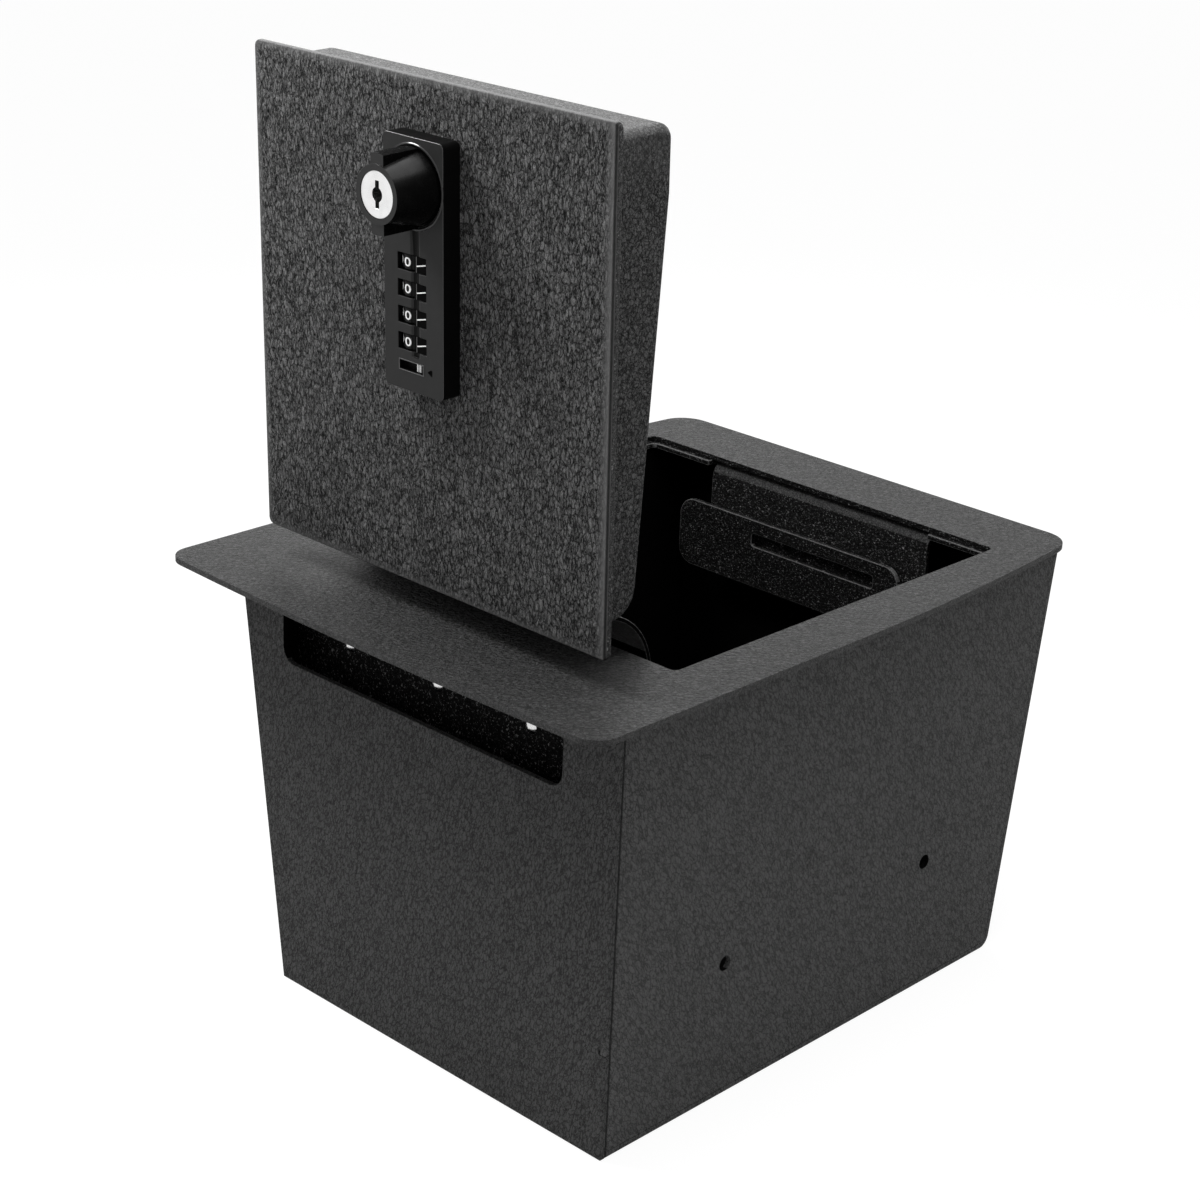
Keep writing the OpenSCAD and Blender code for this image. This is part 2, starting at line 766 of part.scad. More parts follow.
// Lock plate with a knob recess, four windows, a groove and a reset slot
module lock_plate() color(lock_black) {
  top = lid_top + lock_h;
  opened()
    difference() {
      translate([0, 0, lid_top])
        linear_extrude(height = lock_h)
          rounded_rect([lock_x - lock_w / 2, lock_start_y], [lock_x + lock_w / 2, lock_end_y],
            lock_r);
      translate([lock_x, knob_y, top - recess_depth])
        cylinder(r = lock_w / 2 - recess_wall, h = recess_depth + overshoot);
      translate([lock_x, knob_y, lid_top - overshoot])
        cylinder(r = spindle_r + running_gap, h = lock_h + 2 * overshoot);
      translate([dial_x - pocket_half_w, pocket_start_y, lid_top - overshoot])
        cube([2 * pocket_half_w, pocket_end_y - pocket_start_y, lock_h - lock_front_t + overshoot]);
      for (i = [0 : dial_count - 1]) {
        translate([lock_x - window_left, first_dial_y + i * dial_pitch - window_h / 2, lid_top])
          cube([window_open, window_h, lock_h + overshoot]);
        translate([lock_x - window_left, first_dial_y + i * dial_pitch - window_h / 2,
          top - window_floor])
          cube([window_left + window_right, window_h, window_floor + overshoot]);
      }
      axle_rod();
      translate([groove_x, groove_start_y, top + groove_r - groove_depth])
        rotate([-90, 0, 0])
          cylinder(r = groove_r, h = knob_y - groove_start_y);
      translate([reset_left_x, reset_y - reset_h / 2, top - reset_depth])
        cube([reset_w, reset_h, reset_depth + overshoot]);
      translate([lock_x + arrow_offset, reset_y, top - mark_t])
        linear_extrude(height = mark_t + overshoot)
          polygon([[-arrow_len / 2, 0], [arrow_len / 2, -arrow_w / 2], [arrow_len / 2, arrow_w / 2]]);
    }
}

module lock_housing() color(lock_black) {
  opened()
    difference() {
      union() {
        translate([lock_x - housing_w / 2, lock_start_y + housing_end, lid_top - housing_h])
          cube([housing_w, lock_len - 2 * housing_end, housing_h]);
        translate([lock_x, knob_y, lid_top - cam_drop + boss_play])
          cylinder(r = boss_r, h = cam_drop - housing_h);
      }
      translate([lock_x, knob_y, lid_top - cam_drop - overshoot])
        cylinder(r = spindle_r + running_gap, h = cam_drop + 2 * overshoot);
      translate([dial_x - pocket_half_w, pocket_start_y, dial_axis_z - dial_r - dial_under_play])
        cube([2 * pocket_half_w, pocket_end_y - pocket_start_y, dial_r * 2]);
      axle_rod();
    }
}

module lock_screw(side, end) color(steel) {
  mid_y = (lock_start_y + lock_end_y) / 2;
  screw_x = lock_x + side * (housing_w / 2 - screw_inset);
  screw_y = mid_y + end * (lock_len / 2 - housing_end - screw_inset);
  opened()
    translate([screw_x, screw_y, lid_top - housing_h - screw_head_h])
      cylinder(r = screw_head_r, h = screw_head_h);
}

module index_marks() color(mark_white) {
  opened()
    for (i = [0 : dial_count - 1])
      translate([lock_x + window_right - mark_len - mark_inset,
        first_dial_y + i * dial_pitch - mark_w / 2, lid_top + lock_h - window_floor])
        cube([mark_len, mark_w, mark_t]);
}

module dial_axle() color(steel) {
  opened()
    axle_rod();
}

// Number wheel with a finger notch between each pair of numbers and a spacing hub
module dial(i) color(lock_black) {
  opened()
    translate([dial_x, first_dial_y + i * dial_pitch, dial_axis_z])
      rotate([-90, 0, 0])
        difference() {
          union() {
            translate([0, 0, -dial_w / 2])
              cylinder(r = dial_r, h = dial_w);
            translate([0, 0, dial_w / 2])
              cylinder(r = dial_hub_r, h = dial_pitch - dial_w - dial_hub_play);
          }
          translate([0, 0, -dial_w])
            cylinder(r = axle_r + running_gap, h = 3 * dial_pitch);
          for (n = [0 : notch_count - 1])
            rotate([0, 0, (n + 0.5) * 360 / notch_count])
              translate([0, dial_r + notch_r / 3, -dial_w / 2 - overshoot])
                cylinder(r = notch_r, h = dial_w + 2 * overshoot);
        }
}

module reset_slider() color(lock_black) {
  slider_x = reset_left_x + reset_w - slider_len - slider_play;
  width = reset_h - 2 * slider_play;
  opened()
    translate([slider_x, reset_y - width / 2, lid_top + lock_h - reset_depth + slider_play]) {
      cube([slider_len, width, slider_floor]);
      translate([slider_len - slider_grip, 0, 0])
        cube([slider_grip, width, reset_depth - slider_drop]);
    }
}

// Knob: a tapered round body crossed by a grip bar, bored for the key plug
module knob() color(lock_black) {
  base_z = lid_top + lock_h - recess_depth + knob_clear;
  face_z = lid_top + lock_h + knob_clear;
  opened()
    translate([lock_x, knob_y, 0])
      difference() {
        union() {
          translate([0, 0, base_z])
            cylinder(r = knob_base_r, h = face_z - base_z);
          translate([0, 0, face_z])
            cylinder(r1 = knob_base_r, r2 = knob_front_r, h = lid_top + knob_h - face_z);
          intersection() {
            translate([0, 0, face_z])
              cylinder(r = knob_r, h = lid_top + knob_h - face_z - grip_setback);
            translate([-grip_w / 2, -knob_r, face_z])
              cube([grip_w, 2 * knob_r, knob_h]);
          }
        }
        translate([0, 0, lid_top + knob_h - plug_len - plug_recess - running_gap])
          cylinder(r = plug_r + running_gap, h = plug_len + overshoot);
      }
}

module spindle() color(steel) {
  base_z = lid_top + lock_h - recess_depth + knob_clear;
  opened()
    translate([lock_x, knob_y, lid_top - cam_drop])
      cylinder(r = spindle_r, h = base_z - lid_top + cam_drop);
}

module cam() color(steel) {
  cam_z = lid_top - cam_drop - cam_t;
  opened()
    translate([lock_x, knob_y, cam_z])
      linear_extrude(height = cam_t) {
        circle(r = cam_w / 2);
        rounded_outline([[0, -cam_w / 2], [cam_len, -cam_w / 2], [cam_len, cam_w / 2], [0, cam_w / 2]],
          [0, cam_tip_r, cam_tip_r, 0]);
      }
}

module cam_screw() color(steel) {
  opened()
    translate([lock_x, knob_y, lid_top - cam_drop - cam_t - cam_screw_h])
      cylinder(r = cam_screw_r, h = cam_screw_h);
}

module key_plug() color(steel) {
  plug_top = lid_top + knob_h - plug_recess;
  opened()
    translate([lock_x, knob_y, plug_top - plug_len])
      difference() {
        cylinder(r = plug_r, h = plug_len);
        translate([0, 0, plug_len - keyhole_depth]) {
          translate([-keyhole_w / 2, -keyhole_len / 2, 0])
            cube([keyhole_w, keyhole_len, keyhole_depth + overshoot]);
          cylinder(r = keyhole_eye_r, h = keyhole_depth + overshoot);
        }
      }
}

body_wrap();
front_plate();
right_plate();
left_plate();
top_flange();
lid_ledge();
strike_plate();
strike_spacer();
strike_cover();
hinge_plate();
fixed_leaf();
hinge_rivet(-1);  // hinge_rivet_1
hinge_rivet(0);  // hinge_rivet_2
hinge_rivet(1);  // hinge_rivet_3
hinge_pin();
lid_stop();
lid_plate();
lid_pan();
roll_cover();
moving_leaf();
leaf_rivet(-1);  // leaf_rivet_1
leaf_rivet(0);  // leaf_rivet_2
leaf_rivet(1);  // leaf_rivet_3
lock_plate();
lock_housing();
lock_screw(-1, -1);  // lock_screw_1
lock_screw(1, -1);  // lock_screw_2
lock_screw(-1, 1);  // lock_screw_3
lock_screw(1, 1);  // lock_screw_4
index_marks();
dial_axle();
dial(0);  // dial_1
dial(1);  // dial_2
dial(2);  // dial_3
dial(3);  // dial_4
reset_slider();
knob();
spindle();
cam();
cam_screw();
key_plug();
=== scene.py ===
import json
import math

import bmesh
import bpy
import numpy as np
from mathutils import Matrix, Vector


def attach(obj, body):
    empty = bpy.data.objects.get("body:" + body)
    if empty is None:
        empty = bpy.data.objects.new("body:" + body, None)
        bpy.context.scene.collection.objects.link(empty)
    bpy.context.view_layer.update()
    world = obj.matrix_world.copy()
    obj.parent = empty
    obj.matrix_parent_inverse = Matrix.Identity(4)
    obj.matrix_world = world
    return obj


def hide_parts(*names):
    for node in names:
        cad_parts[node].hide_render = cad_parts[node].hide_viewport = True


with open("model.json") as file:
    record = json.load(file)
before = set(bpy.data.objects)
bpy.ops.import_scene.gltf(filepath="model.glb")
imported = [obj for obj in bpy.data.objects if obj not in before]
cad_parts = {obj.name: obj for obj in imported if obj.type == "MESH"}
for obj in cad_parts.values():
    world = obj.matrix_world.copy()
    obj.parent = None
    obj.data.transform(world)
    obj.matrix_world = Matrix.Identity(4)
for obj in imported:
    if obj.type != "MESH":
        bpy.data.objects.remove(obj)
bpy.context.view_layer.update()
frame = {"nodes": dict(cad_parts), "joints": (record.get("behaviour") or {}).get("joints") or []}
NODES = frame["nodes"]
MM = 0.001
X, Y, Z = range(3)

# The lid's hinge pin, in millimetres, and the turn that opens the lid to where it rests
HINGE = next(joint for joint in frame["joints"] if joint["name"] == "lid_hinge")
PIVOT = Vector(HINGE["pos_m"]) / MM
OPEN_ANGLE = -HINGE["range_deg"][0]
OPENED = (
    Matrix.Translation(PIVOT)
    @ Matrix.Rotation(math.radians(OPEN_ANGLE), 4, "X")
    @ Matrix.Translation(-PIVOT)
)
SHUT = OPENED.inverted()
UPRIGHT = Matrix.Identity(4)


def shut_box(node):
    """Lowest and highest corner of a lid node in millimetres, as it lies with the lid shut."""
    points = [SHUT @ (v.co / MM) for v in NODES[node].data.vertices]
    return [Vector([pick(p[i] for p in points) for i in range(3)]) for pick in (min, max)]


LID_LOW, LID_HIGH = shut_box("lid_plate")
PAN_LOW, PAN_HIGH = shut_box("lid_pan")
LOCK_LOW, LOCK_HIGH = shut_box("lock_plate")
MARK_LOW, MARK_HIGH = shut_box("index_marks")
PLUG_LOW, PLUG_HIGH = shut_box("key_plug")
SLIDER_LOW, SLIDER_HIGH = shut_box("reset_slider")
DIAL_BOXES = [shut_box(f"dial_{number}") for number in (1, 2, 3, 4)]

# The dials share one axle along Y
DIAL_W = 5.9
DIAL_R = (DIAL_BOXES[0][1].x - DIAL_BOXES[0][0].x) / 2
DIAL_X = (DIAL_BOXES[0][1].x + DIAL_BOXES[0][0].x) / 2
DIAL_Z = (DIAL_BOXES[0][1].z + DIAL_BOXES[0][0].z) / 2
DIAL_Y = [low.y + DIAL_W / 2 for low, high in DIAL_BOXES]

KNOB_X = (PLUG_LOW.x + PLUG_HIGH.x) / 2
KNOB_Y = (PLUG_LOW.y + PLUG_HIGH.y) / 2


# Materials


class Nodes:
    """A material, with helpers that add and link its shader nodes."""

    def __init__(self, name):
        self.mat = bpy.data.materials.new(name)
        self.mat.use_nodes = True
        self.tree = self.mat.node_tree
        self.bsdf = self.tree.nodes["Principled BSDF"]

    def add(self, kind, inputs=None, **props):
        node = self.tree.nodes.new("ShaderNode" + kind)
        for key, value in props.items():
            setattr(node, key, value)
        for key, value in (inputs or {}).items():
            self.put(node.inputs[key], value)
        return node

    def put(self, socket, value):
        if isinstance(value, bpy.types.NodeSocket):
            self.tree.links.new(value, socket)
        else:
            socket.default_value = value

    def math(self, operation, a, b=0.0, clamp=False):
        node = self.add("Math", operation=operation, use_clamp=clamp)
        self.put(node.inputs[0], a)
        self.put(node.inputs[1], b)
        return node.outputs[0]

    def ramp(self, value, low, high, to_low=0.0, to_high=1.0):
        node = self.add("MapRange", clamp=True)
        for key, item in zip(
            ("Value", "From Min", "From Max", "To Min", "To Max"),
            (value, low, high, to_low, to_high),
        ):
            self.put(node.inputs[key], item)
        return node.outputs[0]

    def coords(self, scale=(1, 1, 1), turn=(0, 0, 0)):
        """Object coordinates in millimetres, turned, then scaled."""
        source = self.add("TexCoord").outputs["Object"]
        turned = self.add(
            "Mapping",
            {"Vector": source, "Rotation": [math.radians(angle) for angle in turn]},
        ).outputs[0]
        return self.add(
            "Mapping", {"Vector": turned, "Scale": [share / MM for share in scale]}
        ).outputs[0]

    def axes(self):
        """The three object coordinates in millimetres, one by one."""
        return self.add("SeparateXYZ", {0: self.coords()}).outputs

    def noise(self, vector, scale, detail=2.0, rough=0.5, distort=0.0):
        return self.add(
            "TexNoise",
            {
                "Vector": vector,
                "Scale": scale,
                "Detail": detail,
                "Roughness": rough,
                "Distortion": distort,
            },
        ).outputs["Fac"]

    def mix(self, factor, a, b):
        node = self.add("Mix", data_type="RGBA")
        self.put(node.inputs[0], factor)
        self.put(node.inputs[6], a)
        self.put(node.inputs[7], b)
        return node.outputs[2]

    def bump(self, height, strength, distance):
        return self.add(
            "Bump", {"Height": height, "Strength": strength, "Distance": distance * MM}
        ).outputs[0]


def grey(value):
    return (value, value, value, 1.0)


# How much of a coat's tone each layer gives, the tone that a coat has on average, and the tone
# up to which it is at its darkest
OWN_SHARE = 0.2
FINE_SHARE = 0.45
GRIT_SHARE = 0.35
MEAN_TONE = 0.34
DARKEST = 0.05
# How far a crease reaches from a grain's border, in grains, what is left of the tone in it as
# painted shade, and what is left of the relief where it has died away
CREASE_REACH = 0.15
CREASE_SHADE = 0.15
CALM_RELIEF = 0.15
# The dark line of edge_line, painted shade on the lid and a dark joint on the walls: its tone as
# a share of the coat's dark tone, how much of the coat's own colour is left in it, and how far
# out it begins to fade and ends, in millimetres
LINE_TONE = 0.1
LINE_REST = 0.15
LINE_CORE = 0.4
LINE_END = 1.1


def powder_coat(
    name,
    cell,
    depth,
    dark,
    light,
    rough,
    specular=0.1,
    stretch=(1, 1, 1),
    turn=(0, 0, 0),
    calm=(),
    glint=0.0,
    edge_line=None,
    lift=None,
    full=0.85,
):
    """Textured powder coat: irregular grains, each with its own tone, between creases of painted
    shade.

    cell is the width of a grain and depth the height of the relief, in millimetres. stretch and
    turn draw the grains out and turn them. calm lists an axis, a position and a fade: the relief
    dies away over the fade before that position, or after it where the fade is negative. glint
    is the tone of a few specks, painted highlights where grains would catch the light.
    edge_line is an axis and a position on it where a dark line runs: painted shade on the lid,
    a dark joint on the walls. lift is an axis, a position, a fade and two tones: over the fade
    before the position the coat turns to those tones, as painted light. full is the grain tone
    from which on the coat has its light tone; a low one leaves thin dark strokes on a flat coat.
    """
    m = Nodes(name)
    at = m.coords([1 / (cell * share) for share in stretch], turn)
    warp = m.add("TexNoise", {"Vector": at, "Scale": 0.9, "Detail": 3.0, "Roughness": 0.6})
    shift = m.add("VectorMath", {0: warp.outputs["Color"], "Scale": 1.5}, operation="SCALE")
    warped = m.add("VectorMath", {0: at, 1: shift.outputs[0]}, operation="ADD").outputs[0]
    grains = m.add("TexVoronoi", {"Vector": warped, "Scale": 1.0}, feature="F1")
    own = m.add("SeparateXYZ", {0: grains.outputs["Color"]}).outputs[0]
    borders = m.add("TexVoronoi", {"Vector": warped, "Scale": 1.0}, feature="DISTANCE_TO_EDGE")
    whole = m.ramp(borders.outputs["Distance"], 0.0, CREASE_REACH)
    swell = m.ramp(m.noise(at, scale=1.1, detail=3.0, rough=0.65, distort=0.3), 0.35, 0.65)
    fine = m.ramp(m.noise(warped, scale=3.0, detail=3.0, rough=0.75), 0.4, 0.6)
    grit = m.ramp(m.noise(warped, scale=8.0, detail=2.0, rough=0.6), 0.46, 0.6)
    tone = m.math("ADD", m.math("MULTIPLY", own, OWN_SHARE), m.math("MULTIPLY", fine, FINE_SHARE))
    tone = m.math("ADD", tone, m.math("MULTIPLY", grit, GRIT_SHARE))
    # Painted shade: the creases between grains are darkened
    tone = m.math("MULTIPLY", tone, m.ramp(whole, 0.0, 1.0, CREASE_SHADE, 1.0))
    # Painted shade: the tone darkens where the swell is low, as in the hollows of the relief
    tone = m.math("MULTIPLY", tone, m.ramp(swell, 0.0, 0.7, 0.5, 1.0))
    height = m.math("ADD", m.math("MULTIPLY", tone, 0.5), swell)
    if calm:
        axes = m.axes()
        rest = 1.0
        for axis, position, fade in calm:
            rest = m.math("MULTIPLY", rest, m.ramp(axes[axis], position, position - fade))
        relief = m.ramp(rest, 0.0, 1.0, CALM_RELIEF, 1.0)
        height = m.math("MULTIPLY", height, relief)
        swing = m.math("MULTIPLY", m.math("SUBTRACT", tone, MEAN_TONE), relief)
        tone = m.math("ADD", swing, MEAN_TONE, clamp=True)
    share = m.ramp(tone, DARKEST, full)
    colour = m.mix(share, grey(dark), grey(light))
    # Painted light: the coat turns to paler tones towards the lift's position
    if lift:
        axis, position, fade, lift_dark, lift_light = lift
        along = m.axes()[axis]
        lifted = m.mix(share, grey(lift_dark), grey(lift_light))
        colour = m.mix(m.ramp(along, position - fade, position), colour, lifted)
    # Painted highlight: a few specks take the pale glint tone
    if glint:
        specks = m.ramp(m.noise(warped, scale=1.9, detail=2.0, rough=0.7), 0.58, 0.68)
        colour = m.mix(m.math("MULTIPLY", specks, whole), colour, grey(glint))
    # A dark line along edge_line: painted shade on the lid, a dark joint on the walls
    if edge_line:
        axis, position = edge_line
        across = m.math("ABSOLUTE", m.math("SUBTRACT", m.axes()[axis], position))
        clear = m.ramp(across, LINE_CORE, LINE_END, LINE_REST, 1.0)
        colour = m.mix(clear, grey(dark * LINE_TONE), colour)
    m.put(m.bsdf.inputs["Base Color"], colour)
    m.put(m.bsdf.inputs["Roughness"], m.ramp(tone, 0.0, 1.0, min(1.0, rough + 0.2), rough))
    m.put(m.bsdf.inputs["Specular IOR Level"], specular)
    m.put(m.bsdf.inputs["Normal"], m.bump(height, 1.0, depth))
    return m.mat


def satin_black(name, tone, rough, specular):
    """Smooth black finish with a faint mottle and fine grain."""
    m = Nodes(name)
    at = m.coords()
    mottle = m.noise(at, scale=0.25, detail=3.0, rough=0.6)
    grain = m.noise(at, scale=6.0)
    m.put(m.bsdf.inputs["Base Color"], m.mix(mottle, grey(tone * 0.8), grey(tone * 1.25)))
    m.put(m.bsdf.inputs["Roughness"], m.ramp(mottle, 0.3, 0.7, rough - 0.04, rough + 0.05))
    m.put(m.bsdf.inputs["Specular IOR Level"], specular)
    m.put(m.bsdf.inputs["Normal"], m.bump(grain, 0.25, 0.02))
    return m.mat


def metal(name, tone, rough, stretch=(1, 1, 1), depth=0.02):
    """Plain metal with fine scratches, drawn out along the axes where stretch is small."""
    m = Nodes(name)
    lines = m.noise(m.coords(stretch), scale=3.0, detail=3.0, rough=0.6)
    stain = m.noise(m.coords(), scale=0.3)
    bright = grey(min(1.0, tone * 1.1))
    m.put(m.bsdf.inputs["Base Color"], m.mix(stain, grey(tone * 0.85), bright))
    m.put(m.bsdf.inputs["Metallic"], 1.0)
    m.put(m.bsdf.inputs["Roughness"], m.ramp(lines, 0.3, 0.7, rough - 0.06, rough + 0.08))
    m.put(m.bsdf.inputs["Normal"], m.bump(lines, 0.3, depth))
    return m.mat


def paint_white(name):
    """White paint of the numbers and marks, a little uneven."""
    m = Nodes(name)
    wear = m.noise(m.coords(), scale=2.5, detail=3.0, rough=0.6)
    m.put(m.bsdf.inputs["Base Color"], m.mix(m.ramp(wear, 0.3, 0.6), grey(0.6), grey(0.88)))
    m.put(m.bsdf.inputs["Roughness"], 0.5)
    return m.mat


def opened_z(y, z):
    """Height at which a point of the shut lid stands when the lid is open."""
    return (OPENED @ Vector((0, y, z))).z


# The relief of the lid face dies away towards its edges, and further in at the right one
EDGE_FADE = 4
RIGHT_BAND = 3
LID_CALM = [
    (X, LID_HIGH.x - RIGHT_BAND, EDGE_FADE),
    (X, LID_LOW.x, -EDGE_FADE),
    (Z, opened_z(LID_HIGH.y, LID_HIGH.z), EDGE_FADE),
    (Z, opened_z(LID_LOW.y, LID_HIGH.z), -EDGE_FADE),
]
# Painted shade: a dark line runs just inside the lid's right edge
LINE_INSET = 1.2
LID_LINE = (X, LID_HIGH.x - LINE_INSET)
# The joint between the hinge-side wall and the right wall shows as a dark line too
SEAM_OFFSET = 0.3
FRONT_SEAM = (Y, min(v.co.y for v in NODES["body_wrap"].data.vertices) / MM + SEAM_OFFSET)
# Painted light: the pan's coat turns paler towards its free end
PAN_FADE = 24
PAN_PAINTED_LIGHT = (Z, opened_z(PAN_HIGH.y, PAN_HIGH.z), PAN_FADE, 0.03, 0.15)

# All these coats are one black powder coat. How pale each is was set for the light on its
# faces, so the differences between them are in part painted light and shade
COATS = {
    "lid": dict(
        cell=1.9,
        depth=1.2,
        dark=0.001,
        light=0.3,
        rough=0.5,
        specular=0.05,
        stretch=(1, 1, 2.2),
        calm=LID_CALM,
        edge_line=LID_LINE,
    ),
    "lid_side_lit": dict(
        cell=1.6,
        depth=0.4,
        dark=0.01,
        light=0.1,
        rough=0.4,
        specular=0.15,
        stretch=(1, 1, 1.3),
        glint=0.25,
    ),
    "pan": dict(
        cell=2.1,
        depth=0.9,
        dark=0.002,
        light=0.19,
        rough=0.45,
        specular=0.06,
        stretch=(1, 1, 1.2),
        glint=0.16,
        lift=PAN_PAINTED_LIGHT,
    ),
    "pan_end_lit": dict(cell=1.7, depth=0.3, dark=0.03, light=0.17, rough=0.5, specular=0.15),
    "front": dict(
        cell=1.7,
        depth=0.5,
        dark=0.017,
        light=0.077,
        rough=0.5,
        specular=0.06,
        stretch=(1, 1, 2.2),
        turn=(0, -14, 0),
        full=0.4,
    ),
    "side": dict(
        cell=1.7,
        depth=0.6,
        dark=0.032,
        light=0.103,
        rough=0.5,
        specular=0.06,
        stretch=(1, 1, 2.4),
        turn=(-30, 0, 0),
        edge_line=FRONT_SEAM,
        full=0.4,
    ),
    "top": dict(
        cell=1.8,
        depth=0.9,
        dark=0.0005,
        light=0.11,
        rough=0.34,
        specular=0.24,
        stretch=(1.6, 1, 1),
        turn=(0, 0, -45),
    ),
    "edge": dict(cell=1.3, depth=0.2, dark=0.02, light=0.1, rough=0.4, specular=0.1),
    # Painted shade: the coats inside the box, of the strike cover and of the hinge seen through the
    # slot are near black, with specks of painted highlight
    "inside": dict(
        cell=1.3,
        depth=0.5,
        dark=0.0002,
        light=0.006,
        rough=0.4,
        specular=0.04,
        stretch=(1.5, 1.5, 1),
        glint=0.2,
    ),
    "cover": dict(
        cell=1.3,
        depth=0.5,
        dark=0.0004,
        light=0.015,
        rough=0.4,
        specular=0.04,
        stretch=(1.5, 1.5, 1),
        glint=0.22,
    ),
    "bend": dict(cell=1.2, depth=0.2, dark=0.002, light=0.09, rough=0.4, specular=0.12),
    "hollow_shade": dict(cell=2.0, depth=0.2, dark=0.0003, light=0.001, rough=0.6, specular=0.02),
    "slot": dict(
        cell=1.9,
        depth=0.3,
        dark=0.0005,
        light=0.006,
        rough=0.45,
        specular=0.05,
        stretch=(1, 1, 1.2),
        glint=0.3,
    ),
    "rim_highlight": dict(cell=0.8, depth=0.2, dark=0.01, light=0.2, rough=0.35, specular=0.3),
}
MAT = {key: powder_coat("coat_" + key, **values) for key, values in COATS.items()}
for key, name, tone, rough, specular in (
    ("lock", "lock_black", 0.0025, 0.4, 0.05),
    ("lock_face_lit", "lock_face_lit_black", 0.021, 0.5, 0.1),
    ("pit_shade", "pit_shade_black", 0.0006, 0.5, 0.02),
    ("frame", "highlight_grey", 0.075, 0.3, 0.3),
    ("knob", "knob_black", 0.0015, 0.25, 0.08),
    ("knob_face_lit", "knob_face_lit_black", 0.017, 0.35, 0.18),
    ("gloss_highlight", "gloss_highlight_black", 0.02, 0.15, 0.32),
    ("dial", "dial_black", 0.003, 0.38, 0.1),
):
    MAT[key] = satin_black(name, tone, rough, specular)
MAT["steel"] = metal("steel", tone=0.55, rough=0.34, stretch=(1, 1, 0.2))
MAT["rivet"] = metal("rivet", tone=0.75, rough=0.25)
MAT["plug"] = metal("plug", tone=0.86, rough=0.3, stretch=(0.3, 1, 1), depth=0.01)
MAT["white"] = paint_white("mark_white")


# Mesh helpers

# Edges sharper than these, in degrees, stay sharp in shading and are softened by a bevel
SHARP_ANGLE = 35
BEVEL_ANGLE = 30
# CAD points nearer than this are one, and CAD faces flatter than this angle are one
MERGE_DISTANCE = 0.002
FLAT_ANGLE = 0.6


def bake(obj):
    """Applies an object's modifiers."""
    depsgraph = bpy.context.evaluated_depsgraph_get()
    mesh = bpy.data.meshes.new_from_object(obj.evaluated_get(depsgraph))
    obj.modifiers.clear()
    old = obj.data
    obj.data = mesh
    bpy.data.meshes.remove(old)
    return obj


def finish_mesh(obj):
    """Smooth shading that keeps sharp edges sharp and large flat faces flat."""
    for face in obj.data.polygons:
        face.use_smooth = True
    obj.data.set_sharp_from_angle(angle=math.radians(SHARP_ANGLE))
    weighted = obj.modifiers.new("normals", "WEIGHTED_NORMAL")
    weighted.keep_sharp = True
    return bake(obj)


def round_edges(obj, width, segments=2, clamp=True):
    """Softens the sharp edges of a mesh for good."""
    bevel = obj.modifiers.new("bevel", "BEVEL")
    bevel.width = width * MM
    bevel.segments = segments
    bevel.limit_method = "ANGLE"
    bevel.angle_limit = math.radians(BEVEL_ANGLE)
    bevel.use_clamp_overlap = clamp
    bevel.miter_outer = "MITER_ARC"
    return bake(obj)


def new_object(name, mesh, material):
    obj = bpy.data.objects.new(name, mesh)
    bpy.context.scene.collection.objects.link(obj)
    mesh.materials.clear()
    mesh.materials.append(material)
    return obj


def object_from(bm, name, material, mesh=None):
    """A new object with the shape of a bmesh, which it frees."""
    mesh = mesh or bpy.data.meshes.new(name)
    bm.to_mesh(mesh)
    bm.free()
    return new_object(name, mesh, material)


def place(obj, body, slot, *nodes):
    """Puts a piece on a CAD body and hides the CAD nodes that it stands for; the material slot is
    not used.
    """
    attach(obj, body)
    if nodes:
        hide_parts(*nodes)
    return obj


def cad_shape(node):
    """A copy of a CAD node's mesh, and a bmesh of it with its triangles joined into flat faces."""
    mesh = NODES[node].data.copy()
    bm = bmesh.new()
    bm.from_mesh(mesh)
    bmesh.ops.remove_doubles(bm, verts=bm.verts, dist=MERGE_DISTANCE * MM)
    bmesh.ops.dissolve_limit(
        bm, angle_limit=math.radians(FLAT_ANGLE), verts=bm.verts, edges=bm.edges
    )
    bmesh.ops.recalc_face_normals(bm, faces=bm.faces)
    return mesh, bm


def from_node(node, material, width, segments=2, clamp=True):
    """A piece with a CAD node's shape, its edges softened by a bevel of that width."""
    mesh, bm = cad_shape(node)
    obj = object_from(bm, "v_" + node, material, mesh)
    if width:
        round_edges(obj, width, segments, clamp)
    return finish_mesh(obj)


def lathe(name, profile, material, centre, segments=96):
    """Solid of revolution about Z. profile is a list of radius and height pairs in millimetres."""
    bm = bmesh.new()
    angles = [2 * math.pi * k / segments for k in range(segments)]
    rings = [
        [bm.verts.new((radius * math.cos(a), radius * math.sin(a), height)) for a in angles]
        for radius, height in profile
    ]
    for low, high in zip(rings, rings[1:]):
        for k in range(segments):
            after = (k + 1) % segments
            bm.faces.new((low[k], low[after], high[after], high[k]))
    bmesh.ops.recalc_face_normals(bm, faces=bm.faces)
    bmesh.ops.transform(bm, matrix=Matrix.Translation(centre), verts=bm.verts)
    return object_from(bm, name, material)


def box_object(name, low, high, material):
    """A box between two corners in millimetres."""
    bm = bmesh.new()
    bmesh.ops.create_cube(bm, size=1)
    low, high = Vector(low), Vector(high)
    size = high - low
    for v in bm.verts:
        v.co = Vector((low[i] + (v.co[i] + 0.5) * size[i] for i in range(3)))
    return object_from(bm, name, material)


def to_frame(obj):
    """Turns a piece made in millimetres, lid shut, to where it stands at rest in metres."""
    obj.data.transform(Matrix.Scale(MM, 4) @ OPENED)
    return obj


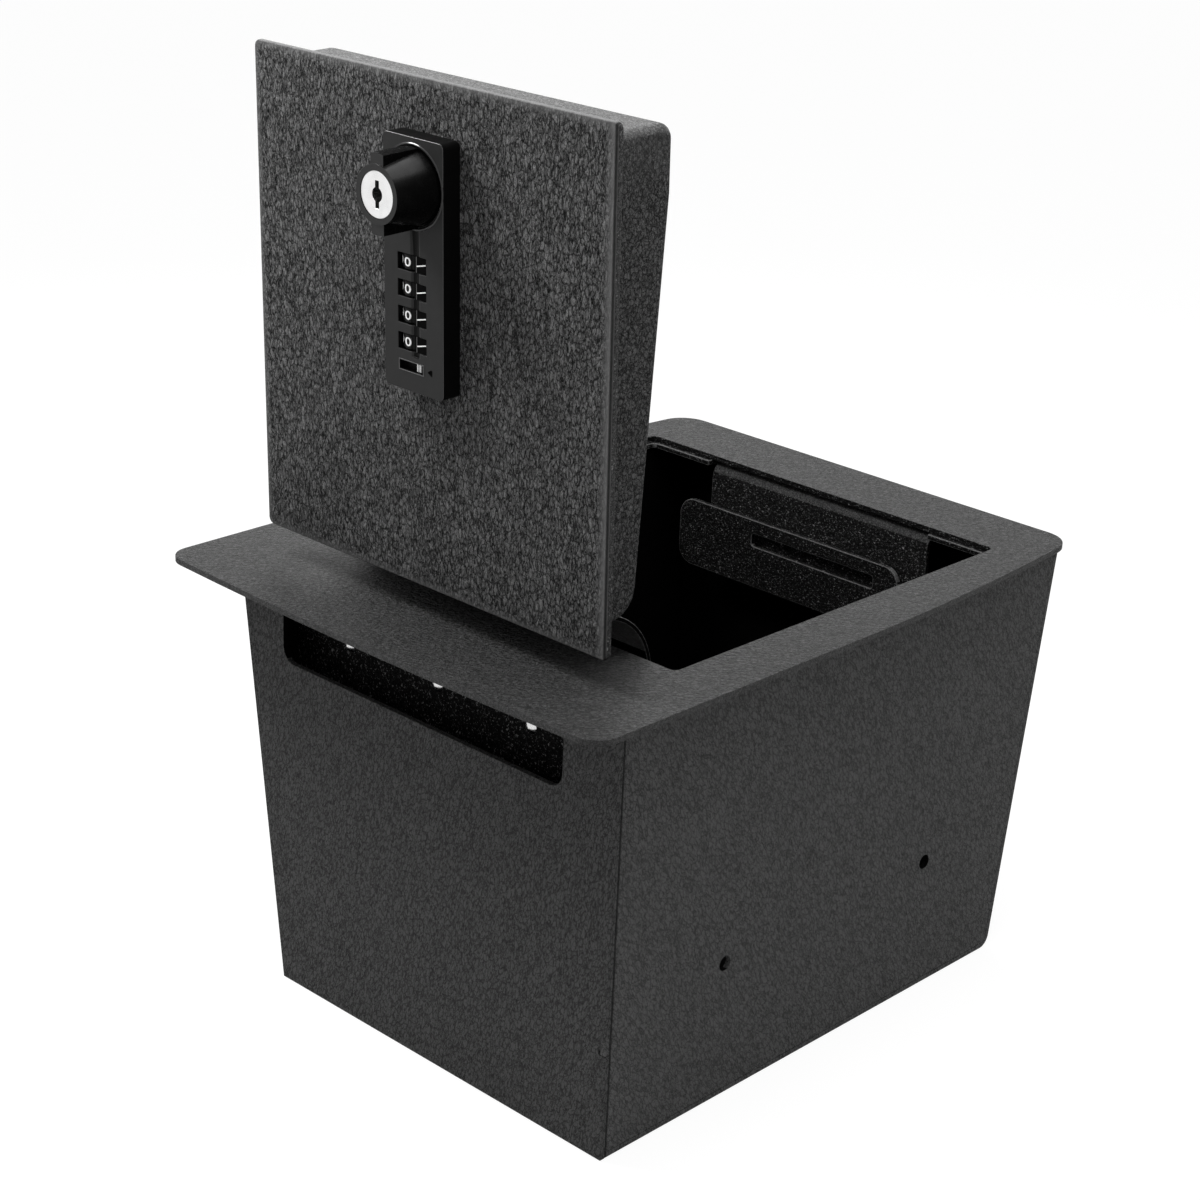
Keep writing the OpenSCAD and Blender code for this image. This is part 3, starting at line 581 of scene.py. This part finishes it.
def paint(obj, material, wanted, matrix=SHUT):
    """Gives another material to the faces for which wanted(centre, normal) holds.

    Centres are in millimetres, with the lid shut unless another matrix is given.
    """
    obj.data.materials.append(material)
    turn = matrix.to_3x3()
    for face in obj.data.polygons:
        if wanted(matrix @ (face.center / MM), turn @ face.normal):
            face.material_index = len(obj.data.materials) - 1
    return obj


# Box

# A point in the middle of the box, in millimetres
CAVITY = Vector((0, 0, 100))
# On a softened edge, no part of the normal along an axis is larger than this
SOFT_LIMIT = 0.93


def faces_cavity(centre, normal):
    """Whether a face looks inwards, where the box gets a near-black coat as painted shade."""
    return normal.dot(CAVITY - centre) > 0


def faces_opening(centre, normal):
    """Whether a face of the flange is on the edge of the lid opening."""
    return normal.z < 0.5 and faces_cavity(centre, normal)


def is_soft_edge(centre, normal):
    """Whether a face belongs to the bevel between two flat faces."""
    return max(abs(part) for part in normal) < SOFT_LIMIT


for node, key, width in (
    ("body_wrap", "side", 0.4),
    ("front_plate", "front", 0.3),
    ("right_plate", "side", 0.25),
    ("left_plate", "side", 0.3),
    ("top_flange", "top", 0.55),
    ("lid_ledge", "inside", 0.5),
    ("strike_plate", "inside", 0.6),
    ("strike_spacer", "inside", 0.2),
    ("strike_cover", "cover", 0.5),
    ("hinge_plate", "slot", 0.4),
    ("fixed_leaf", "slot", 0.2),
    ("lid_stop", "inside", 0.2),
):
    piece = place(from_node(node, MAT[key], width), "box", "coat", node)
    if key in ("side", "front"):
        # Painted shade: the walls' faces that look into the box get a near-black coat
        paint(piece, MAT["hollow_shade"], faces_cavity, UPRIGHT)
    if node == "top_flange":
        # The flange's edge faces get their own tone, set for the light on them
        paint(piece, MAT["edge"], lambda centre, normal: normal.z < 0.5, UPRIGHT)
        # Painted shade: the flange's faces round the opening get the near-black inside coat
        paint(piece, MAT["inside"], faces_opening, UPRIGHT)
    if node in ("lid_ledge", "strike_plate"):
        # Painted highlight: the softened edges of the ledge and the strike plate get a pale coat
        paint(piece, MAT["rim_highlight"], is_soft_edge, UPRIGHT)
    if node == "strike_cover":
        # Painted highlight: the strike cover's bend gets a pale coat
        paint(piece, MAT["bend"], is_soft_edge, UPRIGHT)
for index in (1, 2, 3):
    node = f"hinge_rivet_{index}"
    place(from_node(node, MAT["rivet"], 0), "box", "steel", node)
place(from_node("hinge_pin", MAT["steel"], 0.3), "box", "steel", "hinge_pin")

# Lid

# Radius of the pan's folds, how far in from its free end it has the paler coat of painted light,
# and how near to a plane a point lies in it
PAN_FOLD_R = 4.0
PAN_FOLD_SEGMENTS = 6
PAN_END_DEPTH = 8
ON_PLANE = 0.01


def pan_piece():
    """The lid's pan, with the folds along its two long sides made round."""
    mesh, bm = cad_shape("lid_pan")
    sides = (PAN_LOW.x, PAN_HIGH.x)
    folds = []
    for edge in bm.edges:
        ends = [SHUT @ (v.co / MM) for v in edge.verts]
        on_side = any(all(abs(p.x - x) < ON_PLANE for p in ends) for x in sides)
        if on_side and min(p.z for p in ends) < PAN_HIGH.z - ON_PLANE:
            folds.append(edge)
    bmesh.ops.bevel(
        bm,
        geom=folds,
        offset=PAN_FOLD_R * MM,
        offset_type="OFFSET",
        segments=PAN_FOLD_SEGMENTS,
        profile=0.5,
        affect="EDGES",
        clamp_overlap=False,
    )
    return finish_mesh(object_from(bm, "v_lid_pan", MAT["pan"], mesh))


def at_pan_end(centre, normal):
    """Whether a face is on the pan's free end, which catches the light; it gets a paler coat as
    painted light.
    """
    return normal.y > 0.25 and centre.y > PAN_HIGH.y - PAN_END_DEPTH


# Painted shade: the roll cover gets the near-black coat of the hollows
for node, key, width in (
    ("lid_plate", "lid", 0.6),
    ("roll_cover", "hollow_shade", 0.3),
    ("moving_leaf", "slot", 0.2),
):
    piece = place(from_node(node, MAT[key], width), "lid", "coat", node)
    if node == "roll_cover":
        # Painted highlight: the roll cover's softened edges get a pale coat
        paint(piece, MAT["rim_highlight"], is_soft_edge)
    if node == "lid_plate":
        # Painted light: the lid plate's right side gets a coat toned for the light on it, with
        # painted highlight specks
        paint(piece, MAT["lid_side_lit"], lambda centre, normal: normal.x > 0.7)
pan = place(pan_piece(), "lid", "coat", "lid_pan")
# Painted light: the pan's free end gets a paler coat
paint(pan, MAT["pan_end_lit"], at_pan_end)
for index in (1, 2, 3):
    node = f"leaf_rivet_{index}"
    place(from_node(node, MAT["steel"], 0.3), "lid", "steel", node)

# Lock plate: its front is a little paler, as painted light, and its outline, which catches
# the light, is grey as a painted highlight
OUTLINE_BAND = 0.7
FACE_DEPTH = 0.5


def on_lock_face(centre, normal):
    """Whether a face is part of the lock plate's front."""
    return centre.z > LOCK_HIGH.z - FACE_DEPTH and normal.z > 0.6


def on_lock_outline(centre, normal):
    """Whether a face is part of the softened edge round the lock plate's front."""
    inside = all(
        LOCK_LOW[i] + OUTLINE_BAND < centre[i] < LOCK_HIGH[i] - OUTLINE_BAND for i in (X, Y)
    )
    near_front = centre.z > LOCK_HIGH.z - OUTLINE_BAND
    return near_front and not inside and 0.35 < normal.z < SOFT_LIMIT


lock_piece = from_node("lock_plate", MAT["lock"], 0.3, segments=3, clamp=False)
lock_plate = place(lock_piece, "lid", "lock_black", "lock_plate")
# Painted light: the plate's front is paler than its sides
paint(lock_plate, MAT["lock_face_lit"], on_lock_face)
# Painted highlight: the softened edge round the front is grey
paint(lock_plate, MAT["frame"], on_lock_outline)
place(from_node("lock_housing", MAT["lock"], 0.4), "lid", "lock_black", "lock_housing")
for index in (1, 2, 3, 4):
    node = f"lock_screw_{index}"
    place(from_node(node, MAT["steel"], 0.3), "lid", "steel", node)
place(from_node("dial_axle", MAT["steel"], 0), "lid", "steel", "dial_axle")

# Moving lock pieces

# The keyhole lies within this radius, this far above the plug's rear end and below its front
KEYHOLE_R = 6.5
KEYHOLE_FLOOR = 1
KEYHOLE_LIP = 0.15


def in_keyhole(centre, normal):
    """Floor and far walls of the keyhole, without the wall that catches the light; they get black
    as painted shade.
    """
    away = math.hypot(centre.x - KNOB_X, centre.y - KNOB_Y)
    sunk = PLUG_LOW.z + KEYHOLE_FLOOR < centre.z < PLUG_HIGH.z - KEYHOLE_LIP
    return away < KEYHOLE_R and sunk and normal.x < 0.5


knob = place(from_node("knob", MAT["knob"], 0.7, segments=4), "knob_set", "lock_black", "knob")
# Painted light: the knob's front faces are paler than its sides
paint(knob, MAT["knob_face_lit"], lambda centre, normal: normal.z > 0.5)
for node, width in (("spindle", 0.3), ("cam", 0.4), ("cam_screw", 0.4)):
    place(from_node(node, MAT["steel"], width), "knob_set", "steel", node)
plug = place(from_node("key_plug", MAT["plug"], 0.2), "key", "plug_metal", "key_plug")
# Painted shade: the keyhole's floor and far walls are black
paint(plug, MAT["dial"], in_keyhole)
place(from_node("reset_slider", MAT["dial"], 0.2), "reset", "dial_black", "reset_slider")
for index in (1, 2, 3, 4):
    node = f"dial_{index}"
    place(from_node(node, MAT["dial"], 0.25), f"{node}_body", "dial_black", node)


# Numbers on the dials: their height, width and lift in millimetres, the turn from one to the
# next in degrees, then how much bolder than the font they are and which letter width in the
# font gets the full width

NUMERAL_H = 3.7
NUMERAL_W = 3.9
NUMERAL_LIFT = 0.05
NUMERAL_STEP = 36
FONT_OFFSET = 0.012
FULL_FONT_W = 0.5


def numeral(digit, dial):
    """A plain number wrapped round a dial, with the dial at rest showing zero."""
    curve = bpy.data.curves.new("digit", "FONT")
    curve.body = str(digit)
    curve.size = 1.0
    curve.align_x = "CENTER"
    curve.offset = FONT_OFFSET
    holder = bpy.data.objects.new("digit", curve)
    bpy.context.scene.collection.objects.link(holder)
    depsgraph = bpy.context.evaluated_depsgraph_get()
    mesh = bpy.data.meshes.new_from_object(holder.evaluated_get(depsgraph))
    bpy.data.objects.remove(holder)
    bm = bmesh.new()
    bm.from_mesh(mesh)
    bmesh.ops.triangulate(bm, faces=bm.faces)
    bmesh.ops.subdivide_edges(bm, edges=bm.edges, cuts=3, use_grid_fill=True)
    bm.to_mesh(mesh)
    bm.free()
    points = np.array([v.co[:2] for v in mesh.vertices])
    low, high = points.min(0), points.max(0)
    span = high - low
    wide = NUMERAL_W * min(1.0, span[0] / FULL_FONT_W)
    around = (points[:, 0] - (low[0] + high[0]) / 2) / span[0] * wide
    along = ((points[:, 1] - low[1]) / span[1] - 0.5) * NUMERAL_H
    radius = DIAL_R + NUMERAL_LIFT
    for vertex, u, v in zip(mesh.vertices, around, along):
        angle = math.radians(NUMERAL_STEP * digit) + u / radius
        vertex.co = (
            DIAL_X + radius * math.sin(angle),
            DIAL_Y[dial] + v,
            DIAL_Z + radius * math.cos(angle),
        )
    obj = new_object(f"numeral_{dial + 1}_{digit}", mesh, MAT["white"])
    to_frame(obj)
    return place(obj, f"dial_{dial + 1}_body", "mark_white")


for dial in range(4):
    for digit in range(10):
        numeral(digit, dial)


# Each window beside its dial has a floor of deeper black, painted shade, with a thin grey line
# on it, a painted highlight of the opening's edge, and an index mark

STRIP_T = 0.08
WINDOW_H = 6.9
WINDOW_W = 7.2
WINDOW_FLOOR_Z = MARK_LOW.z
WINDOW_END_X = MARK_HIGH.x + 0.6
WINDOW_OPEN_X = WINDOW_END_X - WINDOW_W
WINDOW_MID_X = (WINDOW_OPEN_X + WINDOW_END_X) / 2
FLOOR_H = WINDOW_H - 0.05
LINE_X = WINDOW_OPEN_X + 1.1
LINE_W = 0.35
LINE_H = WINDOW_H - 0.4
MARK_TURN = 14
MARK_W = WINDOW_END_X - LINE_X - 0.7
MARK_H = 0.5
MARK_X = (LINE_X + WINDOW_END_X - 0.5) / 2
MARK_Z = WINDOW_FLOOR_Z + STRIP_T


def flat_strip(name, centre, size, turn, material):
    """Thin strip that lies flat in a window of the lock plate, turned about its own centre."""
    width, height = size
    strip = box_object(
        name, (-width / 2, -height / 2, 0), (width / 2, height / 2, STRIP_T), material
    )
    strip.data.transform(Matrix.Translation(centre) @ Matrix.Rotation(math.radians(turn), 4, "Z"))
    return place(round_edges(to_frame(strip), 0.03), "lid", "mark_white")


# Painted shade and highlight: each floor is a deeper black and each line grey
for number, y in enumerate(DIAL_Y, 1):
    for name, x, z, size, turn, key in (
        ("v_window_floor", WINDOW_MID_X, WINDOW_FLOOR_Z, (WINDOW_W, FLOOR_H), 0, "pit_shade"),
        ("v_window_line", LINE_X, MARK_Z, (LINE_W, LINE_H), 0, "frame"),
        ("v_index_mark", MARK_X, MARK_Z, (MARK_W, MARK_H), MARK_TURN, "white"),
    ):
        strip = flat_strip(f"{name}_{number}", (x, y, z), size, turn, MAT[key])
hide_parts("index_marks")


# Glossy rings about the knob, one on the lock plate and one down in its recess, paler than the
# plate as a painted highlight


def ring(name, inner, outer, low, high, soft):
    """Ring about the knob with a softened top. low and high are measured from the plate's front."""
    low += LOCK_HIGH.z
    high += LOCK_HIGH.z
    profile = [
        (inner, low),
        (inner, high - soft),
        (inner + soft, high),
        (outer - soft, high),
        (outer, high - soft),
        (outer, low),
        (inner, low),
    ]
    piece = lathe(name, profile, MAT["gloss_highlight"], (KNOB_X, KNOB_Y, 0))
    return place(finish_mesh(to_frame(piece)), "lid", "lock_black")


ring("v_recess_lip", inner=16.5, outer=17.5, low=-0.3, high=0.35, soft=0.3)
ring("v_recess_step", inner=15.75, outer=16.2, low=-1.5, high=-0.55, soft=0.12)

# Reset slot: a thin raised frame, grey as a painted highlight of the slot's edge, and a ridged
# thumb grip on the slider
SLOT_W = 14.2
SLOT_H = 4.0
SLOT_X = SLIDER_HIGH.x + 0.05 - SLOT_W / 2
SLOT_Y = (SLIDER_LOW.y + SLIDER_HIGH.y) / 2
FRAME_T = 0.35
FRAME_SINK = 0.1
FRAME_RISE = 0.2
FRAME_X = SLOT_W / 2 + FRAME_T / 2
FRAME_Y = SLOT_H / 2 + FRAME_T / 2
# Painted highlight: the frame bars are grey
for number, (x, y, w, h) in enumerate(
    (
        (SLOT_X, SLOT_Y + FRAME_Y, SLOT_W + 2 * FRAME_T, FRAME_T),
        (SLOT_X, SLOT_Y - FRAME_Y, SLOT_W + 2 * FRAME_T, FRAME_T),
        (SLOT_X - FRAME_X, SLOT_Y, FRAME_T, SLOT_H),
        (SLOT_X + FRAME_X, SLOT_Y, FRAME_T, SLOT_H),
    ),
    1,
):
    bar = box_object(
        f"v_slot_frame_{number}",
        (x - w / 2, y - h / 2, LOCK_HIGH.z - FRAME_SINK),
        (x + w / 2, y + h / 2, LOCK_HIGH.z + FRAME_RISE),
        MAT["frame"],
    )
    place(round_edges(to_frame(bar), 0.1), "lid", "lock_black")

# Ridges of the grip: where they begin, their spacing and width, and how far they stay from the
# slider's sides, rear and front
RIDGE_START = 0.2
RIDGE_PITCH = 0.9
RIDGE_W = 0.45
RIDGE_INSET = 0.3
RIDGE_BASE = 1.1
RIDGE_SINK = 0.5
for index in range(4):
    x = SLIDER_LOW.x + RIDGE_START + RIDGE_PITCH * index
    ridge = box_object(
        f"v_reset_ridge_{index + 1}",
        (x, SLIDER_LOW.y + RIDGE_INSET, SLIDER_LOW.z + RIDGE_BASE),
        (x + RIDGE_W, SLIDER_HIGH.y - RIDGE_INSET, SLIDER_HIGH.z - RIDGE_SINK),
        MAT["rivet"],
    )
    place(round_edges(to_frame(ridge), 0.15, segments=3), "reset", "dial_black")

# The small pointer beside the slot: how far it stays from the slot and from the plate's edge,
# and how high and how deep it reaches
ARROW_GAP = 0.6
ARROW_MARGIN = 1.5
ARROW_HALF_H = 4
ARROW_DEPTH = 1.5
ARROW_TOP = 0.02


def in_arrow(centre, normal):
    """The small pointer sunk beside the reset slot, which gets a deeper black as painted shade."""
    beside = SLOT_X + SLOT_W / 2 + ARROW_GAP < centre.x < LOCK_HIGH.x - ARROW_MARGIN
    level = abs(centre.y - SLOT_Y) < ARROW_HALF_H
    sunk = LOCK_HIGH.z - ARROW_DEPTH < centre.z < LOCK_HIGH.z - ARROW_TOP
    return beside and level and sunk


# Painted shade: the sunk pointer gets a deeper black
paint(lock_plate, MAT["pit_shade"], in_arrow)


# Studio: plain pale floor, soft light, camera at the photo's angle

# Floor in metres. What the camera sees of it is the glow in this share, and its own shaded
# colour in the rest, which keeps the object's shadow
FLOOR_SIZE = 6
FLOOR_Z = -0.0005
FLOOR_WHITE = 0.8
FLOOR_GLOW = 1.12
SOFT_LIGHT = 0.5


def white_to_camera(tree, shader, strength):
    """Plain white, in this share, wherever the camera, a mirror or glass sees the surface."""

    def math_node(operation, a, b):
        node = tree.nodes.new("ShaderNodeMath")
        node.operation = operation
        tree.links.new(a, node.inputs[0])
        if isinstance(b, float):
            node.inputs[1].default_value = b
        else:
            tree.links.new(b, node.inputs[1])
        return node.outputs[0]

    path = tree.nodes.new("ShaderNodeLightPath").outputs
    seen = math_node("MAXIMUM", path["Is Camera Ray"], path["Is Transmission Ray"])
    mirrored = math_node("MAXIMUM", seen, path["Is Glossy Ray"])
    mix = tree.nodes.new("ShaderNodeMixShader")
    tree.links.new(math_node("MULTIPLY", mirrored, strength), mix.inputs[0])
    tree.links.new(shader, mix.inputs[1])
    return mix


def make_floor():
    bm = bmesh.new()
    bmesh.ops.create_grid(bm, x_segments=1, y_segments=1, size=FLOOR_SIZE)
    mat = bpy.data.materials.new("floor_white")
    mat.use_nodes = True
    tree = mat.node_tree
    bsdf = tree.nodes["Principled BSDF"]
    bsdf.inputs["Base Color"].default_value = grey(0.8)
    bsdf.inputs["Roughness"].default_value = 0.9
    bsdf.inputs["Specular IOR Level"].default_value = 0.1
    mix = white_to_camera(tree, bsdf.outputs[0], FLOOR_WHITE)
    glow = tree.nodes.new("ShaderNodeEmission")
    glow.inputs["Color"].default_value = grey(1.0)
    glow.inputs["Strength"].default_value = FLOOR_GLOW
    tree.links.new(glow.outputs[0], mix.inputs[2])
    tree.links.new(mix.outputs[0], tree.nodes["Material Output"].inputs["Surface"])
    obj = object_from(bm, "floor", mat)
    obj.location = (0, 0, FLOOR_Z)


def make_world():
    world = bpy.data.worlds.new("studio")
    bpy.context.scene.world = world
    world.use_nodes = True
    tree = world.node_tree
    soft = tree.nodes["Background"]
    soft.inputs["Color"].default_value = grey(1.0)
    soft.inputs["Strength"].default_value = SOFT_LIGHT
    mix = white_to_camera(tree, soft.outputs[0], 1.0)
    bright = tree.nodes.new("ShaderNodeBackground")
    bright.inputs["Color"].default_value = grey(1.0)
    bright.inputs["Strength"].default_value = 1.0
    tree.links.new(bright.outputs[0], mix.inputs[2])
    tree.links.new(mix.outputs[0], tree.nodes["World Output"].inputs["Surface"])


def area_light(name, position, target, size, power):
    data = bpy.data.lights.new(name, "AREA")
    data.shape = "RECTANGLE"
    data.size, data.size_y = size
    data.energy = power
    obj = bpy.data.objects.new(name, data)
    bpy.context.scene.collection.objects.link(obj)
    obj.visible_camera = False
    obj.location = position
    aim = Vector(target) - Vector(position)
    obj.rotation_euler = aim.to_track_quat("-Z", "Y").to_euler()


# The camera as solved from the photo: angles in degrees, lens in millimetres, place in metres
CAMERA_AZIMUTH = 43.03
CAMERA_ELEVATION = 21.79
CAMERA_ROLL = 2.49
CAMERA_LENS = 77.71
CAMERA_SENSOR = 36
CAMERA_PLACE = (0.7417, -0.8356, 0.6178)


def make_camera():
    azimuth = math.radians(CAMERA_AZIMUTH)
    elevation = math.radians(CAMERA_ELEVATION)
    roll = math.radians(CAMERA_ROLL)
    back = Vector(
        (
            math.sin(azimuth) * math.cos(elevation),
            -math.cos(azimuth) * math.cos(elevation),
            math.sin(elevation),
        )
    )
    right = Vector((math.cos(azimuth), math.sin(azimuth), 0))
    up = back.cross(right)
    side = math.cos(roll) * right + math.sin(roll) * up
    top = -math.sin(roll) * right + math.cos(roll) * up
    data = bpy.data.cameras.new("camera")
    data.sensor_width = CAMERA_SENSOR
    data.lens = CAMERA_LENS
    data.clip_start = 0.01
    data.clip_end = 50
    obj = bpy.data.objects.new("camera", data)
    bpy.context.scene.collection.objects.link(obj)
    stand = Matrix((side, top, back)).transposed().to_4x4()
    stand.translation = Vector(CAMERA_PLACE)
    obj.matrix_world = stand
    bpy.context.scene.camera = obj


make_floor()
make_world()
area_light(
    "overhead",
    position=(0.08, -0.04, 0.85),
    target=(0.02, -0.04, 0.2),
    size=(0.5, 0.5),
    power=5.0,
)
area_light(
    "front_left",
    position=(-0.36, -0.32, 0.76),
    target=(0, -0.08, 0.34),
    size=(0.2, 0.2),
    power=4.9,
)
area_light(
    "back_card",
    position=(-0.86, 0.6, 0.78),
    target=(0, 0, 0.43),
    size=(0.5, 0.4),
    power=2.6,
)
make_camera()

scene = bpy.context.scene
scene.view_settings.view_transform = "Standard"
